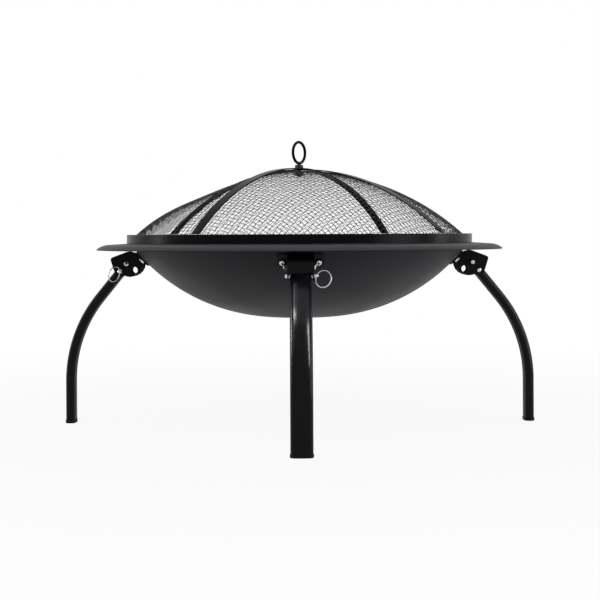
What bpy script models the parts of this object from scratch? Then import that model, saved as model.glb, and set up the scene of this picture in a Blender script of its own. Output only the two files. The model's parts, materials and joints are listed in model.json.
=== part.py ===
"""Round steel fire pit with four folding legs and a domed spark screen. Metres, +Z up, ground at z = 0.

The front leg is towards -Y. A leg set is drawn for that leg, with x along the rim, and turned about Z for
the others. Points in a turned profile or a leg's side view are (radius, height) pairs.
"""

from math import asin, atan2, cos, pi, radians, sin, sqrt, tan

import bmesh
import bpy
from mathutils import Matrix, Vector

# Clearances
GAP = 0.0003
WEB_COVER = 0.0003

# Bowl
BOWL_BOTTOM_Z = 0.1457
BOWL_DEPTH = 0.1011
BOWL_FLAT_R = 0.030
MOUTH_R = 0.233
BOWL_WALL = 0.0012
FLANGE_START = 0.005
FLANGE_WIDTH = 0.0267
FLANGE_DROP = 0.0016
ROLL_R = 0.025
ROLL_END = radians(42)
TURN_STEPS = 48
BOWL_ARC_STEPS = 8

# Legs
LEG_COUNT = 4
PIVOT_OUT = 0.006
PIVOT_DROP = 0.0263
LEG_SLOPE = radians(39)
LEG_BEND_R = 0.1825
LEG_BEND_STEPS = 6
FOOT_R = 0.318
LEG_WIDTH = 0.027
LEG_DEPTH = 0.014
LEG_CORNER_R = 0.0035
LEG_WALL = 0.0015
LEG_TOP = 0.0095
FOLD_ANGLE = radians(88)
FOOT_CAP_HEIGHT = 0.004
FOOT_CAP_PROUD = 0.0007
FOOT_PLUG_HEIGHT = 0.012

# Brackets
BRACKET_SHEET = 0.002
BRACKET_WIDTH = 0.033
HOOD_TOP_BACK = (-0.0016, 0.0166)
HOOD_CORNER = (0.0227, 0.0075)
HOOD_BEND_R = 0.0035
HOOD_RUN_BACK = 0.003
WEB_END = 0.0161
LOBE_R = 0.0078
CHEEK_ROUND = (-0.005, 0.0)
CHEEK_ROUND_R = 0.0185
TAB_SPAN = 0.058
TAB_HEIGHT = 0.0245
TAB_CORNER_R = 0.004
TAB_DROP = 0.020

# Bracket screws and nuts
SCREW_SPREAD = 0.0438
SCREW_R = 0.0022
SCREW_HEAD_R = 0.0043
SCREW_HEAD_HEIGHT = 0.0028
SCREW_TAIL = 0.0012
SCREW_NUT_FLATS = 0.008
SCREW_NUT_HEIGHT = 0.0035

# Pivot screws
PIVOT_SCREW_R = 0.0025
PIVOT_HEAD_R = 0.0035
PIVOT_HEAD_HEIGHT = 0.0022
PIVOT_NUT_FLATS = 0.0078
PIVOT_NUT_HEIGHT = 0.0034
PIVOT_TAIL = 0.0011

# Lock pins and pull rings
PIN_REACH = 0.014
PIN_R = 0.003
PIN_TIP = 0.0028
PIN_SLOT_PLAY = 0.00035
PIN_END = 0.0052
PIN_SHOULDER = 0.0007
PIN_TONGUE = 0.0026
PIN_EYE = 0.0026
PIN_EYE_R = 0.00115
STOW_HOLE_R = 0.005
RING_R = 0.0105
RING_WIRE_R = 0.00075
RING_DROOP = radians(24)
RING_SWINGS = (radians(-30), radians(-30), radians(-30), radians(-40))

# Lid
BAND_OUT = 0.0056
BAND_HEIGHT = 0.0119
BAND_SHEET = 0.0012
BAND_BEND = 0.0015
ARCH_R = 0.337
ARCH_FOOT_IN = 0.0076
ARCH_WIDTH = 0.014
ARCH_THICKNESS = 0.0015
ARCH_TURN = radians(-35)
ARCH_STEPS = 24
SCREEN_SHEET = 0.001
SCREEN_HEM = 0.006
SCREEN_STEPS = 6
SCREEN_TURN_STEPS = TURN_STEPS // 2
SCREEN_SEAT_EDGE = 0.002
SCREEN_CELLS = 11
SCREEN_BAR = 0.0035
SCREEN_BORDER = 0.005
SCREEN_SLIVER = 0.008

# Eye bolt
EYE_OUTER_R = 0.01665
EYE_WIRE_R = 0.002
EYE_SHANK_R = 0.0023
EYE_NUT_FLATS = 0.010
EYE_NUT_HEIGHT = 0.0044
EYE_WASHER_R = 0.008
EYE_WASHER_SHEET = 0.0012
EYE_TAIL = 0.0008

# Derived heights and directions
BOWL_ARC_R = ((MOUTH_R - BOWL_FLAT_R) ** 2 + BOWL_DEPTH**2) / (2 * BOWL_DEPTH)
MOUTH_UNDER_Z = BOWL_BOTTOM_Z + BOWL_DEPTH
FLANGE_TOP_Z = MOUTH_UNDER_Z + BOWL_WALL
FACET_SAG = MOUTH_R * (1 - cos(pi / TURN_STEPS))
NUT_GAP = GAP + FACET_SAG
LEG_DOWN = Vector((sin(LEG_SLOPE), -cos(LEG_SLOPE)))
LEG_OUT = Vector((cos(LEG_SLOPE), sin(LEG_SLOPE)))
PIVOT = Vector((MOUTH_R + PIVOT_OUT, MOUTH_UNDER_Z - PIVOT_DROP))
TAB_CENTRE_Z = MOUTH_UNDER_Z - TAB_DROP
LOCK = PIVOT + PIN_REACH * LEG_DOWN
BAND_R = MOUTH_R + BAND_OUT
LIP_TOP_Z = FLANGE_TOP_Z + GAP + BAND_HEIGHT
ARCH_END_Z = LIP_TOP_Z + GAP
ARCH_CENTRE_Z = ARCH_END_Z - sqrt(ARCH_R**2 - (BAND_R - ARCH_FOOT_IN) ** 2)
UNDER_ARCH_R = ARCH_R - ARCH_THICKNESS - GAP
SCREEN_R = UNDER_ARCH_R - ARCH_THICKNESS - GAP
ARCH_TOP_Z = ARCH_CENTRE_Z + ARCH_R
SCREEN_SEAT_R = EYE_WASHER_R + SCREEN_SEAT_EDGE
SCREEN_TOP_Z = ARCH_CENTRE_Z + sqrt(SCREEN_R**2 - SCREEN_SEAT_R**2)
SCREEN_UNDER_Z = SCREEN_TOP_Z - SCREEN_SHEET
LIP_R = sqrt(SCREEN_R**2 - (LIP_TOP_Z - BAND_SHEET - ARCH_CENTRE_Z) ** 2) + GAP
EYE_CENTRE_Z = ARCH_TOP_Z + GAP + EYE_NUT_HEIGHT + EYE_OUTER_R


def clear_scene():
    for old in list(bpy.data.objects):
        bpy.data.objects.remove(old)


def material(name, colour, roughness, metallic):
    made = bpy.data.materials.new(name)
    made.use_nodes = True
    shader = made.node_tree.nodes["Principled BSDF"]
    shader.inputs["Base Color"].default_value = (*colour, 1.0)
    shader.inputs["Roughness"].default_value = roughness
    shader.inputs["Metallic"].default_value = metallic
    made.diffuse_color = (*colour, 1.0)
    return made


def object_from(name, bm, sharp=radians(35)):
    """A scene object from a bmesh, faces turned out and round sides shaded smooth."""
    bmesh.ops.recalc_face_normals(bm, faces=bm.faces)
    mesh = bpy.data.meshes.new(name)
    bm.to_mesh(mesh)
    bm.free()
    mesh.shade_smooth()
    mesh.set_sharp_from_angle(angle=sharp)
    made = bpy.data.objects.new(name, mesh)
    bpy.context.scene.collection.objects.link(made)
    return made


def finish(made, name, mesh_material):
    """Names an object as a part of the product and gives it its material."""
    made.name = name
    made.data.name = name
    made.data.materials.clear()
    made.data.materials.append(mesh_material)
    return made


def combined(base, steps):
    """Applies Booleans to base, in order, and removes the pieces that were used up."""
    for operation, other in steps:
        modifier = base.modifiers.new(operation.lower(), "BOOLEAN")
        modifier.operation = operation
        modifier.solver = "EXACT"
        modifier.object = other
    bpy.context.view_layer.update()
    graph = bpy.context.evaluated_depsgraph_get()
    mesh = bpy.data.meshes.new_from_object(base.evaluated_get(graph))
    base.modifiers.clear()
    base.data = mesh
    for _, other in steps:
        bpy.data.objects.remove(other)
    return base


def arc(centre, radius, start, end, steps):
    """Points on a circle from angle start to angle end, both ends included."""
    angles = [start + (end - start) * i / steps for i in range(steps + 1)]
    return [Vector((centre[0] + radius * cos(a), centre[1] + radius * sin(a))) for a in angles]


def parallel(points, distance):
    """The open line moved sideways, to the left of its direction, with mitred corners."""
    points = [Vector(p) for p in points]
    sides = []
    for a, b in zip(points, points[1:]):
        along = (b - a).normalized()
        sides.append(Vector((-along.y, along.x)))
    shifted = []
    for i, point in enumerate(points):
        before = sides[max(i - 1, 0)]
        after = sides[min(i, len(sides) - 1)]
        middle = (before + after).normalized()
        shifted.append(point + middle * distance / middle.dot(after))
    return shifted


def fillet(before, corner, after, radius, steps=3):
    """The corner of a line rounded off, as the points of an arc that touches both of its sides."""
    back, ahead = (before - corner).normalized(), (after - corner).normalized()
    half = back.angle(ahead) / 2
    centre = corner + (back + ahead).normalized() * radius / sin(half)
    start = corner + back * radius / tan(half) - centre
    sweep = (corner + ahead * radius / tan(half) - centre).angle_signed(start)
    first = atan2(start.y, start.x)
    return arc(centre, radius, first, first + sweep, steps)


def rounded_rectangle(width, depth, radius, steps=2):
    """Corner points of a rectangle centred on the origin, counter-clockwise."""
    x, y = width / 2 - radius, depth / 2 - radius
    corners = ((x, y, 0.0), (-x, y, pi / 2), (-x, -y, pi), (x, -y, 3 * pi / 2))
    outline = []
    for cx, cy, start in corners:
        outline += arc((cx, cy), radius, start, start + pi / 2, steps)
    return outline


def circle(radius, steps):
    return arc((0.0, 0.0), radius, 0.0, 2 * pi * (steps - 1) / steps, steps - 1)


def turned(name, profile, steps, closed=False):
    """Revolves a (radius, height) profile about Z. An open profile starts and ends on the axis."""
    bm = bmesh.new()
    rings = []
    for radius, height in profile:
        if radius < 1e-9:
            rings.append([bm.verts.new((0.0, 0.0, height))])
            continue
        angles = [2 * pi * i / steps for i in range(steps)]
        rings.append([bm.verts.new((radius * cos(a), radius * sin(a), height)) for a in angles])
    pairs = list(zip(rings, rings[1:]))
    if closed:
        pairs.append((rings[-1], rings[0]))
    for low, high in pairs:
        for i in range(steps):
            near, far = [(ring[i % len(ring)], ring[(i + 1) % len(ring)]) for ring in (low, high)]
            bm.faces.new(dict.fromkeys((*near, *far[::-1])))
    return object_from(name, bm)


def lofted(name, rings, closed=False):
    """Joins rings of points into a tube, capped at both ends or, if closed, joined end to end."""
    bm = bmesh.new()
    loops = [[bm.verts.new(p) for p in ring] for ring in rings]
    pairs = list(zip(loops, loops[1:]))
    if closed:
        pairs.append((loops[-1], loops[0]))
    else:
        bm.faces.new(loops[0])
        bm.faces.new(loops[-1])
    for low, high in pairs:
        count = len(low)
        for i in range(count):
            bm.faces.new((low[i], low[(i + 1) % count], high[(i + 1) % count], high[i]))
    return object_from(name, bm)


def side_plate(name, outline, half_width):
    """Extrudes a leg set's side view, given as (radius, height) points, along x."""
    ends = [[(x, -p[0], p[1]) for p in outline] for x in (-half_width, half_width)]
    return lofted(name, ends)


def along_x(name, outline, start, end):
    """Extrudes (y, z) points from x = start to x = end."""
    return lofted(name, [[(x, p[0], p[1]) for p in outline] for x in (start, end)])


def moved(made, matrix):
    made.data.transform(matrix)
    return made


def leg_turn(index):
    return Matrix.Rotation(2 * pi * index / LEG_COUNT, 4, "Z")


def copies(original, name, pivot, mesh_material, spots=(Matrix.Identity(4),)):
    """One object per leg and spot. They share a mesh whose origin is at pivot, on the front leg set."""
    moved(original, Matrix.Translation(-Vector(pivot)))
    finish(original, name, mesh_material)
    at_pivot = Matrix.Translation(Vector(pivot))
    made = []
    for index in range(LEG_COUNT):
        for spot in spots:
            copy = bpy.data.objects.new(name, original.data)
            copy.matrix_world = leg_turn(index) @ spot @ at_pivot
            bpy.context.scene.collection.objects.link(copy)
            made.append(copy)
    bpy.data.objects.remove(original)
    for number, copy in enumerate(made, start=1):
        copy.name = f"{name}_{number}"
    return made


def side_point(point, x=0.0):
    """A (radius, height) point of the side view as a point of the front leg set."""
    return Vector((x, -point[0], point[1]))


def bowl_arc(offset=0.0):
    """The dish from the edge of its flat bottom to the mouth, offset outwards from its outer face."""
    centre = (BOWL_FLAT_R, BOWL_BOTTOM_Z + BOWL_ARC_R)
    end = asin((MOUTH_R - BOWL_FLAT_R) / BOWL_ARC_R)
    return arc(centre, BOWL_ARC_R + offset, -pi / 2, end - pi / 2, BOWL_ARC_STEPS)


def rim_line():
    """The underside of the flange and of the rolled rim, outside the mouth."""
    slope = atan2(FLANGE_DROP, FLANGE_WIDTH)
    start = Vector((MOUTH_R + FLANGE_START, MOUTH_UNDER_Z))
    bend = start + Vector((FLANGE_WIDTH, -FLANGE_DROP))
    roll_r = ROLL_R - BOWL_WALL
    centre = bend - roll_r * Vector((sin(slope), cos(slope)))
    return [start] + arc(centre, roll_r, pi / 2 - slope, pi / 2 - ROLL_END, 3)


def bowl_normal(height):
    """Where the dish's outer face is at this height, and its outward normal, both in the side view."""
    centre = Vector((BOWL_FLAT_R, BOWL_BOTTOM_Z + BOWL_ARC_R))
    across = sqrt(BOWL_ARC_R**2 - (centre.y - height) ** 2)
    point = Vector((centre.x + across, height))
    return point, (point - centre).normalized()


def screw_frames():
    """Where the two bracket screws leave the bowl, with z along each screw, outwards."""
    point, normal = bowl_normal(TAB_CENTRE_Z)
    spread = asin(SCREW_SPREAD / 2 / point.x)
    tilt = Matrix.Rotation(atan2(normal.x, normal.y), 4, "X")
    frame = Matrix.Translation(side_point(point)) @ tilt
    return [Matrix.Rotation(side * spread, 4, "Z") @ frame for side in (-1, 1)]


def rod(name, radius, start, end, frame, steps=16):
    """A round bar along the frame's z axis."""
    made = lofted(name, [[(p.x, p.y, z) for p in circle(radius, steps)] for z in (start, end)])
    return moved(made, frame)


def wire_ring(name, spine_r, wire_r, steps, sides):
    """A round wire bent to a closed ring in the XZ plane, centred on the origin."""
    rings = []
    for around in (2 * pi * i / steps for i in range(steps)):
        out = Vector((cos(around), 0.0, sin(around)))
        rings.append([(spine_r + p.x) * out + Vector((0.0, p.y, 0.0)) for p in circle(wire_r, sides)])
    return lofted(name, rings, closed=True)


def x_frame(point):
    """A frame at a point of the side view, with z along +x."""
    return Matrix.Translation(side_point(point)) @ Matrix.Rotation(pi / 2, 4, "Y")


def make_bowl(steel):
    under = [Vector((0.0, BOWL_BOTTOM_Z))] + bowl_arc() + rim_line()
    upper = parallel(under, BOWL_WALL)
    upper[0].x = 0.0
    bowl = turned("bowl", under + upper[::-1], TURN_STEPS)
    drills = []
    for index in range(LEG_COUNT):
        for frame in screw_frames():
            drill = rod("drill", SCREW_R + GAP, -0.01, 0.01, leg_turn(index) @ frame, 10)
            drills.append(("DIFFERENCE", drill))
    return finish(combined(bowl, drills), "bowl", steel)


def bowl_patch(name, inner, outer):
    """A curved slab over the dish behind one bracket, between two offsets from the bowl's outer face."""
    section = bowl_arc(inner)[3:] + bowl_arc(outer)[3:][::-1]
    step = 2 * pi / TURN_STEPS
    turns = [Matrix.Rotation(i * step, 3, "Z") for i in range(-2, 3)]
    return lofted(name, [[turn @ side_point(p) for p in section] for turn in turns])


def cheek_outline():
    """The bracket's side view: its folded web, then its cheek's free edge, run on at the back into the bowl."""
    top = PIVOT + Vector(HOOD_TOP_BACK)
    corner = PIVOT + Vector(HOOD_CORNER)
    web_end = PIVOT + WEB_END * LEG_DOWN + (LEG_DEPTH / 2 + WEB_COVER) * LEG_OUT
    web = (web_end - corner).normalized()
    web_end += BRACKET_SHEET * Vector((-web.y, web.x))
    low = PIVOT + Vector(CHEEK_ROUND)
    back = Vector((low.x - CHEEK_ROUND_R, low.y))
    behind = Vector((back.x - HOOD_RUN_BACK, top.y - 2 * HOOD_RUN_BACK))
    hood = [behind] + fillet(behind, top, corner, HOOD_BEND_R)
    hood += fillet(top, corner, web_end, HOOD_BEND_R) + [web_end]
    cheek = arc(LOCK, LOBE_R, 0.0, radians(-140), 6) + arc(low, CHEEK_ROUND_R, radians(-72), -pi, 6)
    return hood, cheek + [back - Vector((2 * HOOD_RUN_BACK, HOOD_RUN_BACK))]


def make_brackets(steel):
    web, cheek = cheek_outline()
    hood = side_plate("hood", web + cheek, BRACKET_WIDTH / 2)
    tab_point, tab_normal = bowl_normal(TAB_CENTRE_Z)
    tilt = Matrix.Rotation(atan2(tab_normal.x, tab_normal.y), 4, "X")
    tab_frame = Matrix.Translation(side_point(tab_point)) @ tilt
    shape = rounded_rectangle(TAB_SPAN, TAB_HEIGHT, TAB_CORNER_R)
    trim = lofted("trim", [[(p.x, p.y, z) for p in shape] for z in (-0.02, 0.02)])
    tab = bowl_patch("tab", GAP, GAP + BRACKET_SHEET)
    tab = combined(tab, [("INTERSECT", moved(trim, tab_frame))])
    inside = parallel(web, -BRACKET_SHEET)
    start = inside[0] + (inside[0] - inside[1])
    low_z = LOCK.y - CHEEK_ROUND_R
    outer_r = web[-1].x + PIN_REACH
    hollow = [start] + inside[1:] + [Vector((outer_r, inside[-1].y)), Vector((outer_r, low_z))]
    hollow.append(Vector((start.x, low_z)))
    cheek_gap = BRACKET_WIDTH / 2 - BRACKET_SHEET
    drill = BRACKET_WIDTH
    folded = LEG_SLOPE - FOLD_ANGLE
    stow = PIVOT + PIN_REACH * Vector((sin(folded), -cos(folded)))
    steps = [
        ("DIFFERENCE", side_plate("hollow", hollow, cheek_gap)),
        ("UNION", tab),
        ("DIFFERENCE", bowl_patch("clear", -0.03, GAP)),
        ("DIFFERENCE", rod("pivot", PIVOT_SCREW_R + GAP, -drill, drill, x_frame(PIVOT), 12)),
        ("DIFFERENCE", rod("lock", PIN_R + GAP, -drill, drill, x_frame(LOCK), 12)),
        ("DIFFERENCE", rod("stow", STOW_HOLE_R, -drill, drill, x_frame(stow), 12)),
    ]
    for frame in screw_frames():
        steps.append(("DIFFERENCE", rod("screw", SCREW_R + GAP, -0.01, 0.01, frame, 10)))
    return copies(combined(hood, steps), "bracket", (0.0, 0.0, 0.0), steel)


def leg_line():
    """The leg tube's centreline in the side view, with the outward normal at each point."""
    rise = LEG_BEND_R * (1 - cos(LEG_SLOPE))
    straight = (FOOT_R - PIVOT.x - rise) / sin(LEG_SLOPE)
    bend_start = PIVOT + straight * LEG_DOWN
    centre = bend_start - LEG_BEND_R * LEG_OUT
    line = [(PIVOT - LEG_TOP * LEG_DOWN, LEG_OUT)]
    for point in arc(centre, LEG_BEND_R, LEG_SLOPE, 0.0, LEG_BEND_STEPS):
        line.append((point, (point - centre).normalized()))
    foot = Vector((line[-1][0].x, FOOT_CAP_HEIGHT + GAP))
    return line + [(foot, Vector((1.0, 0.0)))]


def make_legs(paint):
    outer = rounded_rectangle(LEG_WIDTH, LEG_DEPTH, LEG_CORNER_R)
    bore = rounded_rectangle(LEG_WIDTH - 2 * LEG_WALL, LEG_DEPTH - 2 * LEG_WALL, LEG_CORNER_R - LEG_WALL)
    line = leg_line()
    rings = [[side_point(c + p.y * n, p.x) for p in outer] for c, n in line]
    rings += [[side_point(c + p.y * n, p.x) for p in bore] for c, n in line[::-1]]
    tube = lofted("tube", rings, closed=True)
    near, far = PIN_REACH - PIN_R - PIN_SLOT_PLAY, PIN_REACH + PIN_R + PIN_SLOT_PLAY
    down = LEG_SLOPE - pi / 2
    sweep = radians(75)
    end = PIN_R + PIN_SLOT_PLAY
    slot = arc(PIVOT, near, down, down + sweep, 8) + arc(PIVOT, far, down + sweep, down, 8)
    slot += arc(LOCK, end, down, down - pi, 8)[1:-1]
    steps = [
        ("DIFFERENCE", rod("pivot", PIVOT_SCREW_R + GAP, -LEG_WIDTH, LEG_WIDTH, x_frame(PIVOT), 12)),
        ("DIFFERENCE", side_plate("slot", slot, LEG_WIDTH)),
    ]
    return copies(combined(tube, steps), "leg", side_point(PIVOT), paint)


def make_foot_caps(plastic):
    wide = rounded_rectangle(
        LEG_WIDTH + 2 * FOOT_CAP_PROUD, LEG_DEPTH + 2 * FOOT_CAP_PROUD, LEG_CORNER_R + FOOT_CAP_PROUD
    )
    fit = LEG_WALL + GAP
    plug = rounded_rectangle(LEG_WIDTH - 2 * fit, LEG_DEPTH - 2 * fit, LEG_CORNER_R - fit)
    bevel = FOOT_CAP_PROUD
    sole = rounded_rectangle(LEG_WIDTH, LEG_DEPTH, LEG_CORNER_R)
    levels = [
        (sole, 0.0),
        (wide, bevel),
        (wide, FOOT_CAP_HEIGHT),
        (plug, FOOT_CAP_HEIGHT),
        (plug, FOOT_CAP_HEIGHT + FOOT_PLUG_HEIGHT),
    ]
    cap = lofted("cap", [[(p.x, p.y - FOOT_R, z) for p in ring] for ring, z in levels])
    return copies(cap, "foot_cap", side_point(PIVOT), plastic)


def screw(name, radius, length, head_r, head_height):
    """A domed-head screw along z, with the head's seat at z = 0 and the shank below it."""
    dome = [(0.0, head_height), (head_r * 0.55, head_height * 0.93), (head_r * 0.85, head_height * 0.68)]
    shank = [(head_r, head_height * 0.3), (head_r, 0.0), (radius, 0.0), (radius, -length), (0.0, -length)]
    return turned(name, dome + shank, 10)


def nut(name, flats, height, bore):
    """A hexagon nut along z from z = 0 to its height, its upper corners turned off, with a plain bore."""
    corner = flats / sqrt(3)
    levels = [(corner, 0.0), (corner, height * 0.82), (flats / 2 * 1.02, height)]
    rings = [[(p.x, p.y, z) for p in circle(radius, 6)] for radius, z in levels]
    body = lofted("hexagon", rings)
    drill = rod("drill", bore, -height, 2 * height, Matrix.Identity(4), 10)
    made = combined(body, [("DIFFERENCE", drill)])
    made.name = name
    return made


def make_bracket_screws(zinc):
    seat = GAP + BRACKET_SHEET + GAP
    through = seat + BOWL_WALL + NUT_GAP + SCREW_NUT_HEIGHT + SCREW_TAIL
    frames = screw_frames()
    spots = [frame @ Matrix.Translation((0.0, 0.0, seat)) for frame in frames]
    original = screw("bracket_screw", SCREW_R, through, SCREW_HEAD_R, SCREW_HEAD_HEIGHT)
    screws = copies(original, "bracket_screw", (0.0, 0.0, 0.0), zinc, spots)
    flip = Matrix.Translation((0.0, 0.0, -BOWL_WALL - NUT_GAP)) @ Matrix.Rotation(pi, 4, "X")
    original = nut("bracket_nut", SCREW_NUT_FLATS, SCREW_NUT_HEIGHT, SCREW_R + GAP)
    nuts = copies(original, "bracket_nut", (0.0, 0.0, 0.0), zinc, [frame @ flip for frame in frames])
    return screws + nuts


def make_pivot_screws(zinc, black):
    seat = BRACKET_WIDTH / 2 + GAP
    length = 2 * seat + PIVOT_NUT_HEIGHT + PIVOT_TAIL
    frame = x_frame(PIVOT) @ Matrix.Translation((0.0, 0.0, seat))
    original = moved(screw("pivot_screw", PIVOT_SCREW_R, length, PIVOT_HEAD_R, PIVOT_HEAD_HEIGHT), frame)
    screws = copies(original, "pivot_screw", side_point(PIVOT), zinc)
    flip = x_frame(PIVOT) @ Matrix.Translation((0.0, 0.0, -seat)) @ Matrix.Rotation(pi, 4, "X")
    original = moved(nut("pivot_nut", PIVOT_NUT_FLATS, PIVOT_NUT_HEIGHT, PIVOT_SCREW_R + GAP), flip)
    return screws + copies(original, "pivot_nut", side_point(PIVOT), black)


def ring_eye():
    """Centre of the hole in a lock pin's tongue, on the front leg."""
    return side_point(LOCK, BRACKET_WIDTH / 2 + PIN_EYE)


def droop_frame():
    """A frame at the pin's eye: x points away from the bracket and down, z is the ring's swing axis."""
    return Matrix.Translation(ring_eye()) @ Matrix.Rotation(RING_DROOP, 4, "Y")


def make_lock_pins(zinc):
    half = BRACKET_WIDTH / 2
    tip = PIN_R * 0.35
    profile = [(0.0, half + PIN_END), (PIN_R - tip, half + PIN_END), (PIN_R, half + PIN_END - tip)]
    profile += [(PIN_R, tip - half - PIN_TIP), (PIN_R - tip, -half - PIN_TIP), (0.0, -half - PIN_TIP)]
    pin = moved(turned("pin", profile, 12), x_frame(LOCK))
    steps = []
    for side in (-1, 1):
        low, high = sorted((side * PIN_TONGUE / 2, side * 2 * PIN_R))
        y_low, y_high = -LOCK.x - 2 * PIN_R, -LOCK.x + 2 * PIN_R
        z_low, z_high = LOCK.y + low, LOCK.y + high
        flat = [(y_low, z_low), (y_high, z_low), (y_high, z_high), (y_low, z_high)]
        steps.append(("DIFFERENCE", along_x("flat", flat, half + PIN_SHOULDER, half + 2 * PIN_END)))
    steps.append(("DIFFERENCE", rod("eye", PIN_EYE_R, -0.01, 0.01, droop_frame(), 10)))
    return copies(combined(pin, steps), "lock_pin", side_point(LOCK), zinc)


def make_pull_rings(zinc):
    """A wire ring through each pin's eye, swung about the eye's axis."""
    ring = wire_ring("pull_ring", RING_R, RING_WIRE_R, 20, 6)
    original = finish(moved(ring, Matrix.Translation((RING_R, 0.0, 0.0))), "pull_ring", zinc)
    made = []
    for index in range(LEG_COUNT):
        ring = bpy.data.objects.new(f"pull_ring_{index + 1}", original.data)
        swing = Matrix.Rotation(RING_SWINGS[index % len(RING_SWINGS)], 4, "Z")
        ring.matrix_world = leg_turn(index) @ droop_frame() @ swing
        bpy.context.scene.collection.objects.link(ring)
        made.append(ring)
    bpy.data.objects.remove(original)
    return made


def make_lid_band(steel):
    low = FLANGE_TOP_Z + GAP
    outer = [Vector((LIP_R, LIP_TOP_Z)), Vector((BAND_R - BAND_BEND, LIP_TOP_Z))]
    outer += [Vector((BAND_R, LIP_TOP_Z - BAND_BEND)), Vector((BAND_R, low))]
    inner = parallel(outer, -BAND_SHEET)
    band = turned("lid_band", outer + inner[::-1], TURN_STEPS, closed=True)
    return finish(band, "lid_band", steel)


def make_arch(name, radius, turn, steel):
    """A flat bar bent to a circle, from lip to lip, with a hole for the eye bolt at its top."""
    reach = asin(sqrt(radius**2 - (ARCH_END_Z - ARCH_CENTRE_Z) ** 2) / radius)
    rings = []
    for i in range(ARCH_STEPS + 1):
        lean = reach * (2 * i / ARCH_STEPS - 1)
        ring = []
        for x, lift in ((-1, 0.0), (1, 0.0), (1, -ARCH_THICKNESS), (-1, -ARCH_THICKNESS)):
            height = ARCH_CENTRE_Z + (radius + lift) * cos(lean)
            ring.append((x * ARCH_WIDTH / 2, (radius + lift) * sin(lean), max(height, ARCH_END_Z)))
        rings.append(ring)
    arch = lofted(name, rings)
    drill = rod("drill", EYE_SHANK_R + GAP, ARCH_END_Z, ARCH_TOP_Z + 0.01, Matrix.Identity(4), 16)
    arch = combined(arch, [("DIFFERENCE", drill)])
    return finish(moved(arch, Matrix.Rotation(turn, 4, "Z")), name, steel)


def make_screen(wire):
    """The domed mesh as a thin grid, its hem out under the band's lip, with a hole for the eye bolt."""
    hem_z = LIP_TOP_Z - BAND_SHEET - GAP
    hole = EYE_SHANK_R + GAP
    start = atan2(sqrt(SCREEN_R**2 - (hem_z - ARCH_CENTRE_Z) ** 2), hem_z - ARCH_CENTRE_Z)
    top = asin(SCREEN_SEAT_R / SCREEN_R)
    dome = arc((0.0, ARCH_CENTRE_Z), SCREEN_R, pi / 2 - top, pi / 2 - start, SCREEN_STEPS)
    edge = dome[-1] + Vector((SCREEN_HEM, 0.0))
    line = [Vector((hole, SCREEN_TOP_Z))] + dome + [edge]
    under = parallel(line, -SCREEN_SHEET)
    under[0].x = hole
    screen = turned("lid_screen", line + under[::-1], SCREEN_TURN_STEPS, closed=True)
    screen = combined(screen, [("DIFFERENCE", screen_openings(dome[-1].x))])
    return finish(screen, "lid_screen", wire)


def screen_openings(base_r):
    """Square prisms, one for each opening of the grid that stands for the weave, trimmed to a round border.

    The weave runs in line with the two arches, and so does the grid.
    """
    pitch = 2 * base_r / SCREEN_CELLS
    half = (pitch - SCREEN_BAR) / 2
    open_r = base_r - SCREEN_BORDER
    middle = SCREEN_CELLS // 2
    bm = bmesh.new()
    for column in range(SCREEN_CELLS):
        for row in range(SCREEN_CELLS):
            x, y = (column - middle) * pitch, (row - middle) * pitch
            nearest = Vector((max(abs(x) - half, 0.0), max(abs(y) - half, 0.0))).length
            if nearest > open_r - SCREEN_SLIVER or column == row == middle:
                continue
            size = Matrix.Diagonal((2 * half, 2 * half, ARCH_R, 1.0))
            bmesh.ops.create_cube(bm, size=1.0, matrix=Matrix.Translation((x, y, ARCH_TOP_Z)) @ size)
    openings = object_from("openings", bm)
    border = rod("border", open_r, 0.0, ARCH_TOP_Z + ARCH_R, Matrix.Identity(4), SCREEN_TURN_STEPS)
    openings = combined(openings, [("INTERSECT", border)])
    return moved(openings, Matrix.Rotation(ARCH_TURN, 4, "Z"))


def make_eye_bolt(zinc):
    """The handle ring and its shank in one piece, turned to stand along the upper arch."""
    ring = wire_ring("eye_bolt", EYE_OUTER_R - EYE_WIRE_R, EYE_WIRE_R, 24, 8)
    stand = Matrix.Translation((0.0, 0.0, EYE_CENTRE_Z)) @ Matrix.Rotation(pi / 2, 4, "Z")
    moved(ring, stand)
    shank_end = SCREEN_UNDER_Z - EYE_WASHER_SHEET - EYE_NUT_HEIGHT - 3 * GAP - EYE_TAIL
    shank_top = EYE_CENTRE_Z - EYE_OUTER_R + EYE_WIRE_R
    shank = rod("shank", EYE_SHANK_R, shank_end, shank_top, Matrix.Identity(4), 16)
    bolt = combined(ring, [("UNION", shank)])
    return finish(moved(bolt, Matrix.Rotation(ARCH_TURN, 4, "Z")), "lid_eye_bolt", zinc)


def make_eye_fasteners(black, zinc):
    bore = EYE_SHANK_R + GAP
    upper = nut("lid_upper_nut", EYE_NUT_FLATS, EYE_NUT_HEIGHT - GAP, bore)
    finish(upper, "lid_upper_nut", black).location.z = ARCH_TOP_Z + GAP
    ring = [(bore, EYE_WASHER_SHEET), (EYE_WASHER_R, EYE_WASHER_SHEET), (EYE_WASHER_R, 0.0), (bore, 0.0)]
    washer = finish(turned("lid_washer", ring, 16, closed=True), "lid_washer", zinc)
    washer.location.z = SCREEN_UNDER_Z - GAP - EYE_WASHER_SHEET
    lower = nut("lid_lower_nut", EYE_NUT_FLATS, EYE_NUT_HEIGHT, bore)
    finish(lower, "lid_lower_nut", zinc)
    moved(lower, Matrix.Rotation(pi, 4, "X"))
    lower.location.z = washer.location.z - GAP


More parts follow.
